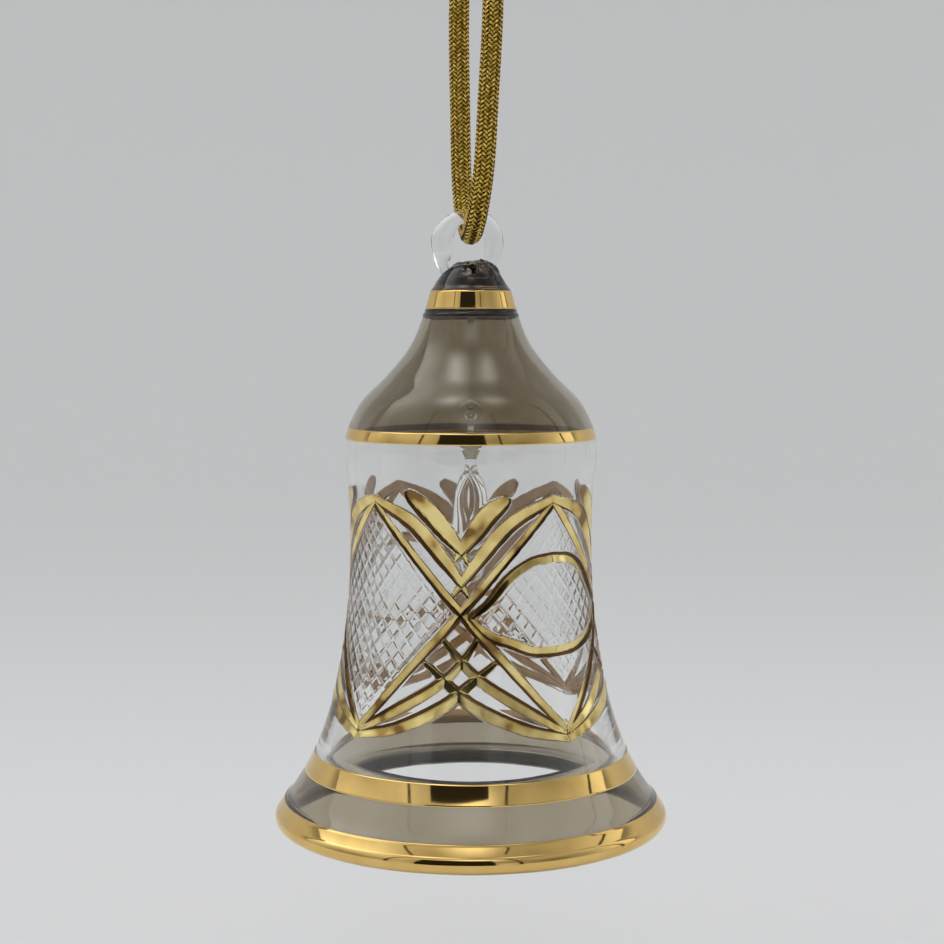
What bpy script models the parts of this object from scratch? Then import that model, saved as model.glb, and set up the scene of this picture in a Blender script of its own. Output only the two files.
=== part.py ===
"""Hand-blown glass bell ornament hanging from a loop of braided metallic cord.

Frame: metres, +Z up, origin at the hanging point, which is the inside top of the cord loop just
under its knot. The bell hangs straight down, -Y is its front and +X its right.
Three hinges move it: the bell sways on the cord, a small glass link swings on the eye inside the
crown, and the clapper swings on the link.
"""

import math

import bmesh
import bpy
from mathutils import Matrix, Vector

MM = 0.001

# The blown body, in millimetres below the hanging point
NECK_BAND_TOP = -61.2
CROWN_JOINT = -62.7
NECK_BAND_BOTTOM = -64.2
SHOULDER_BAND_TOP = -83.8
SHOULDER_JOINT = -84.7
SHOULDER_BAND_BOTTOM = -85.7
SKIRT_BAND_TOP = -138.0
SKIRT_JOINT = -139.6
SKIRT_BAND_BOTTOM = -141.2
RIM_BAND_TOP = -146.5
RIM_BOTTOM = -150.65

# Outer wall: radius at each height, joined by a smooth curve
WALL_STATIONS = (
    (-61.2, 6.7), (-65.2, 7.9), (-70.2, 10.0), (-75.2, 14.0), (-79.3, 18.1), (-83.8, 20.45),
    (-87.7, 21.1), (-94.4, 20.45), (-101.5, 20.15), (-110.5, 20.4), (-120.7, 21.55),
    (-130.0, 23.5), (-138.0, 26.3), (-144.0, 29.7), (-146.5, 31.7),
)
# Heights of the facet rings of the outer wall. The skins of gilding share these rings.
SHOULDER_RINGS = (-67.4, -70.4, -73.2, -76.2, -79.2, -81.6)
WAIST_RINGS = (-88.2, -93.6, -101.0, -109.0, -117.0, -125.0, -132.0)
FLARE_RING = -144.0
FACET_RINGS = (NECK_BAND_TOP, NECK_BAND_BOTTOM, *SHOULDER_RINGS, SHOULDER_BAND_TOP,
               SHOULDER_BAND_BOTTOM, *WAIST_RINGS, SKIRT_BAND_TOP, SKIRT_BAND_BOTTOM,
               FLARE_RING, RIM_BAND_TOP)
WALL = 1.3
# The wall thickens down the foot of the waist and thins again behind the skirt band
FOOT_TOP = -121.0
FOOT_THICKEST = -138.0
FOOT_BOTTOM = -141.2
FOOT_EXTRA = 1.1
FOOT_CURVE = 1.5
RIM_CENTRE = (31.35, -149.0)
RIM_RADIUS = 1.65
LAND = (31.9, 30.8)
# Top of the dark crown, and inside of the neck above its last facet ring: radius and height
KNOB_STATIONS = (
    (0.0, -56.3), (1.6, -56.4), (3.2, -56.9), (4.5, -57.8), (5.4, -59.1), (6.1, -60.3),
)
CEILING = ((6.4, -65.2), (5.2, -64.3), (0.0, -64.0))

# Facets round every turned piece, and the turn that lines them up with the cut pattern
SEGMENTS = 40
CLAPPER_SEGMENTS = 20
PATTERN_TURN = -4.5

# Gilding is a thin skin that stays just off the glass
SKIN_GAP = 0.06
SKIN = 0.2
JOINT_GAP = 0.1
CLEARANCE = 0.3

# Hanging ring on the crown
RING_CENTRE_Z = -53.6
RING_HALF_WIDTH = 4.4
RING_HALF_HEIGHT = 4.85
RING_TUBE_TOP = 1.05
RING_TUBE_SIDE = 1.75
RING_TUBE_BOTTOM = 1.5

# Cord loop
CORD_DIAMETER = 3.5
BIGHT_Z = -51.85
KNOT_CENTRE = (0.0, 0.0, 5.2)
KNOT_RADII = (4.3, 4.9, 4.4)
CORD_FRONT = (
    (0.5, -1.9, 0.4), (1.7, -3.5, -4.0), (3.4, -5.9, -10.5), (3.5, -7.1, -18.0),
    (2.8, -7.3, -31.0), (2.2, -7.2, -41.0), (1.3, -6.0, -47.6), (0.5, -3.0, -51.0),
)
CORD_BACK = (
    (-0.4, 3.0, -51.0), (-1.1, 6.0, -47.6), (-1.6, 7.2, -41.0), (-1.8, 7.3, -31.0),
    (-2.0, 7.1, -18.0), (-1.8, 5.9, -10.5), (-1.1, 3.5, -4.0), (-0.5, 1.9, 0.4),
)
TAIL_RIGHT = ((0.9, -1.4, 10.0), (2.2, -2.6, 13.2), (4.6, -4.0, 16.6), (7.6, -5.0, 19.2))
TAIL_LEFT = ((-0.9, 1.4, 10.0), (-2.4, 2.4, 13.4), (-5.0, 3.3, 16.0), (-8.2, 3.8, 17.6))

# Eye in the crown, link, and clapper, with the heights of their glass rods
ROD = 0.5
EYE_HALF_WIDTH = 1.45
EYE_ROOT_Z = -64.7
EYE_BOTTOM_Z = -80.45
LINK_TOP_Z = -79.4
LINK_BOTTOM_Z = -82.9
CLAPPER_LOOP_TOP_Z = -81.85
CLAPPER_LOOP_BOTTOM_Z = -85.0
CLAPPER_TOP_Z = -84.9
CLAPPER_STATIONS = (
    (0.0, 0.75), (-1.1, 2.2), (-3.0, 1.5), (-4.4, 1.0), (-5.9, 1.1), (-7.8, 2.05), (-9.9, 2.65),
    (-13.1, 2.95), (-18.5, 3.3), (-23.4, 2.2), (-24.9, 1.0),
)
CLAPPER_BOTTOM_Z = -110.1

# Gilded cuts of one quarter of the waist: degrees from the crossing, height, and widths in mm.
# Each stroke is drawn for one side and mirrored to the other.
QUARTER = 45.0
FLAT_SCALE = 0.363
SEAM_GAP = 0.42
PLATE_HALF = 1.0
STROKES = (
    (((-47.0, -94.2), (-22.0, -103.6), (0.0, -112.2), (22.0, -121.6), (47.0, -132.2)), 1.4, 1.55, 1.4),
    (((-44.5, -94.6), (-28.0, -96.9), (-17.0, -100.0), (-3.5, -105.8), (3.0, -109.2)), 1.5, 2.6, 0.9),
    (((-23.5, -93.6), (-14.0, -96.4), (-7.0, -99.3), (-1.0, -102.2), (3.5, -104.6)), 1.9, 3.0, 0.7),
    (((-44.5, -131.6), (-27.0, -127.6), (-9.0, -123.1), (0.7, -119.6), (7.3, -116.4)), 1.3, 1.8, 0.9),
    (((-44.5, -132.3), (-26.0, -130.1), (-7.0, -126.8), (6.0, -122.9), (14.8, -120.1)), 1.3, 2.1, 0.9),
)
EYE_STROKES = (
    (((4.0, -112.9), (12.0, -110.6), (22.0, -106.9), (33.0, -104.6), (47.0, -103.8)), 1.0, 1.6, 1.6),
    (((4.0, -112.9), (13.0, -115.7), (23.0, -117.4), (33.0, -118.5), (47.0, -118.8)), 1.0, 1.6, 1.6),
)


def smooth_through(points, samples):
    """Points of a smooth curve (Catmull-Rom) through the given points."""
    first = tuple(2 * a - b for a, b in zip(points[0], points[1]))
    last = tuple(2 * a - b for a, b in zip(points[-1], points[-2]))
    padded = [first, *points, last]
    curve = []
    for group in zip(padded, padded[1:], padded[2:], padded[3:]):
        for i in range(samples):
            t = i / samples
            curve.append(tuple(
                0.5 * (2 * b + (c - a) * t + (2 * a - 5 * b + 4 * c - d) * t * t
                       + (3 * b - a - 3 * c + d) * t ** 3)
                for a, b, c, d in zip(*group)))
    curve.append(tuple(points[-1]))
    return curve


def between(table, z):
    """Value at z in a table of (height, value) that runs downwards, straight between entries."""
    for (upper_z, upper), (lower_z, lower) in zip(table, table[1:]):
        if lower_z <= z <= upper_z:
            return upper + (lower - upper) * (upper_z - z) / (upper_z - lower_z)
    raise ValueError("height outside the table")


def wall_radius(z):
    """Outer radius of the bell at a height, from a smooth curve through the stations."""
    return between(smooth_through(WALL_STATIONS, 8), z)


def facet_radius(z):
    """Outer radius on the faceted wall, straight between the facet rings."""
    return between([(ring, wall_radius(ring)) for ring in FACET_RINGS], z)


def arc(centre, radius, start, end, steps):
    """Points of an arc in the profile plane, angles in degrees from +X."""
    points = []
    for i in range(steps + 1):
        angle = math.radians(start + (end - start) * i / steps)
        points.append((centre[0] + radius * math.cos(angle), centre[1] + radius * math.sin(angle)))
    return points


def offset(points, distance):
    """Profile points moved outwards, to the left of a profile that runs top to bottom."""
    moved = []
    for i, point in enumerate(points):
        before = Vector(points[max(i - 1, 0)])
        after = Vector(points[min(i + 1, len(points) - 1)])
        along = (after - before).normalized()
        moved.append((point[0] - along.y * distance, point[1] + along.x * distance))
    return moved


def make_material(name, colour, metallic, roughness, transmission=0.0):
    material = bpy.data.materials.new(name)
    material.use_nodes = True
    shader = material.node_tree.nodes["Principled BSDF"]
    shader.inputs["Base Color"].default_value = (*colour, 1.0)
    shader.inputs["Metallic"].default_value = metallic
    shader.inputs["Roughness"].default_value = roughness
    shader.inputs["Transmission Weight"].default_value = transmission
    material.diffuse_color = (*colour, 1.0)
    return material


def finish(obj, name, material, collection):
    """Name the object, give it its own copy of the material and put it in the collection."""
    obj.name = name
    obj.data.name = name
    obj.data.materials.clear()
    own = material.copy()
    own.name = name
    obj.data.materials.append(own)
    for other in list(obj.users_collection):
        other.objects.unlink(obj)
    collection.objects.link(obj)
    return obj


def turned(name, profile, material, collection, closed=True, segments=SEGMENTS):
    """A profile of (radius, height) in mm turned about the vertical axis."""
    mesh = bpy.data.meshes.new(name)
    count = len(profile)
    edges = [(i, i + 1) for i in range(count - 1)]
    if closed:
        edges.append((count - 1, 0))
    mesh.from_pydata([(r * MM, 0.0, z * MM) for r, z in profile], edges, [])
    obj = bpy.data.objects.new(name, mesh)
    screw = obj.modifiers.new("Turn", "SCREW")
    screw.axis = "Z"
    screw.steps = segments
    screw.render_steps = segments
    screw.use_merge_vertices = True
    screw.merge_threshold = 0.000001
    screw.use_smooth_shade = True
    obj.rotation_euler.z = math.radians(PATTERN_TURN)
    return finish(obj, name, material, collection)


def rod(name, points, material, collection, cyclic=False, resolution=2):
    """A round rod through points (x, y, z, radius) in mm, as a mesh with welded ends."""
    data = bpy.data.curves.new(name, "CURVE")
    data.dimensions = "3D"
    data.bevel_depth = MM
    data.bevel_resolution = resolution
    data.use_fill_caps = True
    spline = data.splines.new("POLY")
    spline.points.add(len(points) - 1)
    spline.use_cyclic_u = cyclic
    for point, (x, y, z, radius) in zip(spline.points, points):
        point.co = (x * MM, y * MM, z * MM, 1.0)
        point.radius = radius
    curve_object = bpy.data.objects.new(name, data)
    bpy.context.scene.collection.objects.link(curve_object)
    depsgraph = bpy.context.evaluated_depsgraph_get()
    mesh = bpy.data.meshes.new_from_object(curve_object.evaluated_get(depsgraph))
    bpy.data.objects.remove(curve_object)
    bpy.data.curves.remove(data)
    bm = bmesh.new()
    bm.from_mesh(mesh)
    bmesh.ops.remove_doubles(bm, verts=bm.verts, dist=0.000001)
    bmesh.ops.recalc_face_normals(bm, faces=bm.faces)
    bm.to_mesh(mesh)
    bm.free()
    mesh.shade_smooth()
    return finish(bpy.data.objects.new(name, mesh), name, material, collection)


def cut(obj, cutter, operation="DIFFERENCE"):
    modifier = obj.modifiers.new(operation.title(), "BOOLEAN")
    modifier.operation = operation
    modifier.object = cutter
    modifier.solver = "EXACT"
    cutter.hide_render = True
    cutter.display_type = "WIRE"


def outer_wall(rings):
    return [(facet_radius(z), z) for z in rings]


def foot_extra(z):
    """Extra thickness of the wall at a height."""
    falling = (FOOT_TOP - z) / (FOOT_TOP - FOOT_THICKEST)
    rising = (z - FOOT_BOTTOM) / (FOOT_THICKEST - FOOT_BOTTOM)
    share = min(max(falling, 0.0), max(rising, 0.0), 1.0)
    return FOOT_EXTRA * share ** FOOT_CURVE


def inner_wall(rings):
    """The inside of the wall, bottom to top, one wall thickness in from the outer rings."""
    points = offset(outer_wall(rings), -WALL)
    points = [(r - foot_extra(z), z) for r, z in points]
    return points[::-1]


def ring_points(extra=0.0):
    """Hanging ring: an upright oval whose glass is thinnest at the top."""
    points = []
    count = 28
    for i in range(count):
        angle = 2 * math.pi * i / count
        up = math.sin(angle)
        end = RING_TUBE_TOP if up > 0 else RING_TUBE_BOTTOM
        tube = RING_TUBE_SIDE + (end - RING_TUBE_SIDE) * up * up
        points.append((RING_HALF_WIDTH * math.cos(angle), 0.0,
                       RING_CENTRE_Z + RING_HALF_HEIGHT * up, tube + extra))
    return points


def crown_knob(glass, parts, cutters):
    """Solid dome of dark glass on the neck, with the saddle that the ring stands in."""
    profile = [*KNOB_STATIONS, (facet_radius(NECK_BAND_TOP), NECK_BAND_TOP),
               (facet_radius(CROWN_JOINT), CROWN_JOINT), (0.0, CROWN_JOINT)]
    knob = turned("crown_knob", profile, glass, parts, closed=False)
    saddle = rod("ring_saddle", ring_points(extra=CLEARANCE), glass, cutters, cyclic=True)
    cut(knob, saddle)


def shoulder_glass(glass, parts):
    """Smoked shoulder: a hollow neck, closed at its top, that opens into the dome."""
    rings = (CROWN_JOINT - JOINT_GAP, NECK_BAND_BOTTOM, *SHOULDER_RINGS, SHOULDER_BAND_TOP,
             SHOULDER_JOINT)
    inside = inner_wall((*SHOULDER_RINGS, SHOULDER_BAND_TOP, SHOULDER_JOINT))
    profile = [(0.0, rings[0]), *outer_wall(rings), *inside, *CEILING]
    turned("shoulder_glass", profile, glass, parts, closed=False)


def waist_glass(glass, parts):
    rings = (SHOULDER_JOINT - JOINT_GAP, SHOULDER_BAND_BOTTOM, *WAIST_RINGS, SKIRT_BAND_TOP,
             SKIRT_JOINT)
    turned("waist_glass", [*outer_wall(rings), *inner_wall(rings)], glass, parts)


def rim_outside():
    """Outer side of the flare from the rim band's top edge round the bead to its resting land."""
    return [(facet_radius(RIM_BAND_TOP), RIM_BAND_TOP), *arc(RIM_CENTRE, RIM_RADIUS, 48, -66, 5)]


def skirt_glass(glass, parts):
    """Smoked skirt that flares to a thick rounded rim with a narrow flat land under it."""
    rings = (SKIRT_JOINT - JOINT_GAP, SKIRT_BAND_BOTTOM, FLARE_RING)
    land = [(radius, RIM_BOTTOM) for radius in LAND]
    bead_inside = arc(RIM_CENTRE, RIM_RADIUS, -118, -195, 3)
    profile = [*outer_wall(rings), *rim_outside(), *land, *bead_inside, *inner_wall(rings)]
    turned("skirt_glass", profile, glass, parts)


def band(name, outline, gold, parts):
    """A skin of gilding over an outline of the glass."""
    inner = offset(outline, SKIN_GAP)
    outer = offset(outline, SKIN_GAP + SKIN)
    turned(name, [*outer, *inner[::-1]], gold, parts)


def stroke_outline(points, start_width, middle_width, end_width):
    """Outline of one cut, on the unrolled wall, in mm."""
    flat = [Vector(p) for p in smooth_through([(u * FLAT_SCALE, z, 0.0) for u, z in points], 2)]
    left, right = [], []
    last = len(flat) - 1
    for i, point in enumerate(flat):
        along = (flat[min(i + 1, last)] - flat[max(i - 1, 0)]).normalized()
        t = i / last
        ends = start_width + (end_width - start_width) * t
        half = 0.5 * (ends + (middle_width - ends) * math.sin(math.pi * t))
        side = Vector((-along.y, along.x, 0.0)) * half
        left.append(point + side)
        right.append(point - side)
    return left + right[::-1]


def flat_stroke(name, outline, mirrored, parts):
    """One cut as a flat plate on the unrolled wall, in millimetres."""
    sign = -1.0 if mirrored else 1.0
    bm = bmesh.new()
    verts = [bm.verts.new((sign * p.x, p.y, -PLATE_HALF)) for p in outline]
    face = bm.faces.new(verts)
    top = bmesh.ops.extrude_face_region(bm, geom=[face])
    moved = [v for v in top["geom"] if isinstance(v, bmesh.types.BMVert)]
    bmesh.ops.translate(bm, verts=moved, vec=(0.0, 0.0, 2 * PLATE_HALF))
    bmesh.ops.recalc_face_normals(bm, faces=bm.faces)
    mesh = bpy.data.meshes.new(name)
    bm.to_mesh(mesh)
    bm.free()
    obj = bpy.data.objects.new(name, mesh)
    parts.objects.link(obj)
    return obj


def wrap(point):
    """Place a point of the unrolled wall on the faceted glass; the plate's two faces become
    the skin's outer and inner side."""
    step = 360.0 / SEGMENTS
    degrees = point.x / FLAT_SCALE
    facet = math.floor(degrees / step + 1e-6)
    share = degrees / step - facet
    height = SKIN_GAP + (SKIN if point.z > 0 else 0.0)
    radius = facet_radius(point.y) + height
    first = math.radians(facet * step - 90.0)
    second = math.radians((facet + 1) * step - 90.0)
    x = radius * ((1 - share) * math.cos(first) + share * math.cos(second))
    y = radius * ((1 - share) * math.sin(first) + share * math.sin(second))
    return Vector((x, y, point.y)) * MM


def slice_along_facets(bm):
    """Cut the plate along every facet edge of the glass that it crosses."""
    step = 360.0 / SEGMENTS * FLAT_SCALE
    planes = [((i * step, 0.0, 0.0), (1.0, 0.0, 0.0)) for i in range(-4, 5)]
    planes += [((0.0, z, 0.0), (0.0, 1.0, 0.0)) for z in WAIST_RINGS]
    for place, normal in planes:
        geometry = bm.verts[:] + bm.edges[:] + bm.faces[:]
        bmesh.ops.bisect_plane(bm, geom=geometry, dist=0.0001, plane_co=place, plane_no=normal)


def trim_at_seams(bm):
    """End the plate just short of the seam with its neighbours."""
    edge = (QUARTER - SEAM_GAP) * FLAT_SCALE
    for side in (-1.0, 1.0):
        geometry = bm.verts[:] + bm.edges[:] + bm.faces[:]
        bmesh.ops.bisect_plane(bm, geom=geometry, dist=0.0001, plane_co=(side * edge, 0.0, 0.0),
                               plane_no=(side, 0.0, 0.0), clear_outer=True)
        rim = [e for e in bm.edges if e.is_boundary]
        bmesh.ops.holes_fill(bm, edges=rim, sides=0)


def gilt_quarter(number, gold, parts, cutters):
    """All the gilded cuts of one quarter, joined into one skin and wrapped on the waist."""
    name = f"gilt_cross_{number}"
    eye_on_left = number % 2 == 0
    drawn = [(stroke, mirrored) for stroke in STROKES for mirrored in (False, True)]
    drawn += [(stroke, eye_on_left) for stroke in EYE_STROKES]
    plates = [flat_stroke(f"{name}_stroke_{i}", stroke_outline(*stroke), mirrored, cutters)
              for i, (stroke, mirrored) in enumerate(drawn)]
    base = plates[0]
    for plate in plates[1:]:
        cut(base, plate, "UNION")
    bpy.context.view_layer.update()
    depsgraph = bpy.context.evaluated_depsgraph_get()
    mesh = bpy.data.meshes.new_from_object(base.evaluated_get(depsgraph))
    for plate in plates:
        bpy.data.objects.remove(plate)
    bm = bmesh.new()
    bm.from_mesh(mesh)
    bmesh.ops.remove_doubles(bm, verts=bm.verts, dist=0.002)
    bmesh.ops.dissolve_limit(bm, angle_limit=0.01, verts=bm.verts, edges=bm.edges)
    trim_at_seams(bm)
    slice_along_facets(bm)
    for vert in bm.verts:
        vert.co = wrap(vert.co)
    bmesh.ops.recalc_face_normals(bm, faces=bm.faces)
    bm.to_mesh(mesh)
    bm.free()
    obj = bpy.data.objects.new(name, mesh)
    obj.rotation_euler.z = math.radians(PATTERN_TURN + 90.0 * (number - 1))
    finish(obj, name, gold, parts)


def oval(top, bottom, half_width, across, count=18):
    """Centre line of a small upright loop; across is the unit vector of its width."""
    middle, half_height = (top + bottom) / 2, (top - bottom) / 2
    points = []
    for i in range(count):
        angle = 2 * math.pi * i / count
        side = half_width * math.cos(angle)
        points.append((side * across[0], side * across[1], middle + half_height * math.sin(angle),
                       ROD))
    return points


def crown_eye(glass, parts):
    """Rod bent to a U under the dome; its ends stop just short of the ceiling."""
    points = [(0.0, -EYE_HALF_WIDTH, EYE_ROOT_Z, ROD)]
    bend_z = EYE_BOTTOM_Z + EYE_HALF_WIDTH
    for i in range(11):
        angle = math.pi + math.pi * i / 10
        points.append((0.0, EYE_HALF_WIDTH * math.cos(angle), bend_z + EYE_HALF_WIDTH * math.sin(angle),
                       ROD))
    points.append((0.0, EYE_HALF_WIDTH, EYE_ROOT_Z, ROD))
    rod("crown_eye", points, glass, parts)


def clapper(glass, parts, cutters):
    """Loop and drop of clear glass; the loop stands in the drop's top."""
    rod("clapper_loop", oval(CLAPPER_LOOP_TOP_Z, CLAPPER_LOOP_BOTTOM_Z, EYE_HALF_WIDTH, (0, 1)),
        glass, parts, cyclic=True)
    side = smooth_through([(r, CLAPPER_TOP_Z + z) for z, r in CLAPPER_STATIONS], 3)
    profile = [(0.0, CLAPPER_TOP_Z), *side, (0.0, CLAPPER_BOTTOM_Z)]
    drop = turned("clapper_drop", profile, glass, parts, closed=False, segments=CLAPPER_SEGMENTS)
    seat = [(x, y, z, ROD + CLEARANCE) for x, y, z, _ in
            oval(CLAPPER_LOOP_TOP_Z, CLAPPER_LOOP_BOTTOM_Z, EYE_HALF_WIDTH, (0, 1))]
    cut(drop, rod("clapper_loop_seat", seat, glass, cutters, cyclic=True))


def cord_loop(cord, parts):
    """The loop from the knot, down through the hanging ring and back up to the knot."""
    route = [*CORD_FRONT, (0.0, 0.0, BIGHT_Z), *CORD_BACK]
    points = [(*p, CORD_DIAMETER / 2) for p in smooth_through(route, 2)]
    rod("hanging_cord", points, cord, parts)
    bpy.ops.mesh.primitive_uv_sphere_add(segments=20, ring_count=12, radius=MM)
    knot = bpy.context.object
    scale = Matrix.Diagonal((*KNOT_RADII, 1.0))
    knot.data.transform(scale)
    knot.data.shade_smooth()
    knot.location = Vector(KNOT_CENTRE) * MM
    finish(knot, "cord_knot", cord, parts)
    for name, route in (("cord_tail_right", TAIL_RIGHT), ("cord_tail_left", TAIL_LEFT)):
        rod(name, [(*p, CORD_DIAMETER / 2) for p in smooth_through(route, 2)], cord, parts)


def build():
    for obj in list(bpy.data.objects):
        bpy.data.objects.remove(obj)
    parts = bpy.data.collections.new("glass_bell")
    cutters = bpy.data.collections.new("cutters")
    bpy.context.scene.collection.children.link(parts)
    bpy.context.scene.collection.children.link(cutters)

    dark = make_material("dark_glass", (0.05, 0.05, 0.05), 0.0, 0.04, 0.6)
    smoked = make_material("smoked_glass", (0.28, 0.29, 0.29), 0.0, 0.04, 0.8)
    clear = make_material("clear_glass", (0.86, 0.90, 0.90), 0.0, 0.03, 1.0)
    gold = make_material("gilding", (0.78, 0.60, 0.27), 1.0, 0.22)
    cord = make_material("gold_cord", (0.62, 0.48, 0.22), 0.5, 0.45)

    cord_loop(cord, parts)
    rod("hanging_ring", ring_points(), clear, parts, cyclic=True, resolution=3)
    crown_knob(dark, parts, cutters)
    shoulder_glass(smoked, parts)
    waist_glass(clear, parts)
    skirt_glass(smoked, parts)
    band("neck_band", outer_wall((NECK_BAND_TOP, NECK_BAND_BOTTOM)), gold, parts)
    band("shoulder_band", outer_wall((SHOULDER_BAND_TOP, SHOULDER_BAND_BOTTOM)), gold, parts)
    band("skirt_band", outer_wall((SKIRT_BAND_TOP, SKIRT_BAND_BOTTOM)), gold, parts)
    band("rim_band", rim_outside(), gold, parts)
    for number in range(1, 5):
        gilt_quarter(number, gold, parts, cutters)
    crown_eye(clear, parts)
    rod("clapper_link", oval(LINK_TOP_Z, LINK_BOTTOM_Z, EYE_HALF_WIDTH, (1, 0)), clear, parts,
        cyclic=True)
    clapper(clear, parts, cutters)


build()
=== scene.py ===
"""Looks of the glass bell: blown and cut glass, gilding, clapper and braided cord loop.

The part's own frame: +Z up, the origin at the hanging point, -Y the front, and the bell's axis on
the Z axis. Shapes are in millimetres and mesh_object turns them into metres. The camera, the lamps
and the relief of the materials are in metres.
"""

import math

import bpy
import numpy as np
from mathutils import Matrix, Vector, noise

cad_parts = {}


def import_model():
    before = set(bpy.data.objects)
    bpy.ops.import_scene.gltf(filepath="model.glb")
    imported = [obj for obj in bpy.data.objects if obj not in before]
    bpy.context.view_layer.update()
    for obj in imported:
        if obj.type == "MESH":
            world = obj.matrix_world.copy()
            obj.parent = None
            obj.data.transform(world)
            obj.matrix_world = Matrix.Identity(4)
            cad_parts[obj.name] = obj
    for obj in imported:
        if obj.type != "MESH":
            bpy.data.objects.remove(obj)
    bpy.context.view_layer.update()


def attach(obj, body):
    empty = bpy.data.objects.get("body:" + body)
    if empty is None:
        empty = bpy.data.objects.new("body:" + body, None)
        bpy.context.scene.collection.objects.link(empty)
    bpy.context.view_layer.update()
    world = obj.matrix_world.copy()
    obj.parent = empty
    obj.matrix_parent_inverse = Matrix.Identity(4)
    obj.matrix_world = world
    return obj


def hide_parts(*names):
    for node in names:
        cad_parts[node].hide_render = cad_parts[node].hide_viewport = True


MM = 0.001
COLUMNS = 256

# Outline of the blown glass: height and outer radius in mm, the same stations as the frame's
WALL_STATIONS = (
    (-61.2, 6.7), (-65.2, 7.9), (-70.2, 10.0), (-75.2, 14.0), (-79.3, 18.1), (-83.8, 20.45),
    (-87.7, 21.1), (-94.4, 20.45), (-101.5, 20.15), (-110.5, 20.4), (-120.7, 21.55),
    (-130.0, 23.5), (-138.0, 26.3), (-144.0, 29.7), (-146.5, 31.7),
)
WALL = 1.3
# The wall thickens down the foot of the waist and thins again behind the skirt band
FOOT_TOP, FOOT_THICKEST, FOOT_BOTTOM = -121.0, -138.0, -141.2
FOOT_EXTRA = 1.1
FOOT_CURVE = 1.5
# Hollow of the dome: where its even wall ends under the neck, and its top as radius and height
DOME_INSIDE_TOP = -67.4
CEILING = ((6.4, -65.2), (5.2, -64.3), (2.6, -64.05), (0.0, -64.0))
# Heights where one glass ends and the next begins, and the gap left between the pieces
CROWN_JOINT = -62.7
SHOULDER_JOINT = -84.7
SKIRT_JOINT = -139.6
JOINT_GAP = 0.04
# Dark dome on the neck as radius and height, how far down its top is uneven, and the ring's two
# feet on it: place along X, how far they raise the glass, spread along X and along Y
KNOB_STATIONS = (
    (0.0, -56.3), (1.6, -56.4), (3.2, -56.9), (4.5, -57.8), (5.4, -59.1), (6.1, -60.3),
    (6.7, -61.2), (7.1, CROWN_JOINT),
)
KNOB_UNEVEN_ABOVE, KNOB_UNEVEN_OVER = -60.4, 2.5
RING_FEET = ((2.4, 0.45, 2.2, 3.0), (-4.0, -0.5, 1.4, 2.5))
# Gilded bands from top to bottom, the gap under the gilding and its thickness
NECK_BAND = (-61.2, -64.2)
SHOULDER_BAND = (-83.8, -85.7)
SKIRT_BAND = (-138.0, -141.2)
SKIN_GAP = 0.03
SKIN = 0.03
# Dark threads under the neck band: top, bottom and how far each stands out
NECK_THREADS = ((-64.28, -64.6, 0.08), (-64.78, -65.45, 0.14))
# Rim: where its gilding starts, its foot, and the bead's centre (radius, height) and radius
RIM_BAND_TOP = -146.5
RIM_BOTTOM = -150.65
RIM_CENTRE = (31.35, -149.0)
RIM_RADIUS = 1.65
# Ends in degrees of the bead's outer arc, its inner arc and its gilding, whose back is painted
# lighter above a height and painted dark, as painted shade, below it
RIM_ARC = (50.0, -70.0)
RIM_INNER_ARC = (-110.0, -190.0)
GILT_RIM_END = -64.0
RIM_PAINTED_SHADE_BELOW = -148.2
# The land that the rim stands on, and the lower end of the skirt's inner wall
LAND = (31.85, 30.85)
SKIRT_INSIDE_BOTTOM = -145.6

# Cut pattern: how far it is turned, mm for a degree round the waist, and the crossing's height.
# Then the cuts of one quarter: places in degrees from the crossing and height, the start, middle
# and end widths in mm, the lean of the valley, and where it swells (1 halfway, less is earlier)
PATTERN_TURN = -4.5
FLAT_SCALE = 0.363
CROSSING_Z = -112.2
STROKES = (
    (((-47.0, -94.2), (-22.0, -103.6), (0.0, -112.2), (22.0, -121.6), (47.0, -132.2)),
     (1.3, 1.55, 1.3), -0.45, 1.0),
    (((-44.5, -94.6), (-28.0, -96.9), (-17.0, -100.0), (-3.5, -105.8), (3.0, -109.2)),
     (1.5, 2.6, 0.8), -0.6, 1.0),
    (((-23.5, -93.6), (-14.0, -96.4), (-7.0, -99.3), (-1.0, -102.2), (3.5, -104.6)),
     (1.9, 3.3, 0.3), -0.7, 0.62),
    (((-44.5, -131.6), (-27.0, -127.6), (-9.0, -123.1), (0.7, -119.6), (7.3, -116.4)),
     (1.3, 1.8, 0.9), 0.45, 1.0),
    (((-44.5, -132.3), (-26.0, -130.1), (-7.0, -126.8), (6.0, -122.9), (14.8, -120.1)),
     (1.3, 2.1, 0.9), 0.5, 1.0),
)
EYE_STROKES = (
    (((4.0, -112.9), (12.0, -110.6), (22.0, -106.9), (33.0, -104.6), (47.0, -103.8)),
     (1.0, 1.7, 1.7), 0.4, 1.0),
    (((4.0, -112.9), (13.0, -115.7), (23.0, -117.4), (33.0, -118.5), (47.0, -118.8)),
     (1.0, 1.7, 1.7), -0.4, 1.0),
)
# Which stroke is the tip leaf, and what share of each leaf is left uncut at its top, left and
# right, on the four quarters
LEAF = 2
LEAF_STARTS = ((0.0, 0.12), (0.05, 0.0), (0.16, 0.14), (0.08, 0.02))
# How far in mm the places of a cut wander from quarter to quarter
HAND = 0.16
# Gilding: how far it spills over the edge of a cut and how ragged it is; and where it is brown:
# this near its edge, this far up a cut's steep side, where the brown is painted shade, and round the
# crossing
GILT_SPILL, GILT_RAGGED = 0.05, 0.09
EDGE_BROWN = 0.12
STEEP_PAINTED_SHADE = 0.02
HUB_BROWN, HUB_SIZE = 0.35, 2.4
# Depth of a cut for its half width; then spacing, half width and depth of the cross-hatching
CUT_SLOPE = 0.42
HATCH_SPACING = 1.95
HATCH_HALF_WIDTH = 0.3
HATCH_SLOPE = 0.45
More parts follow.
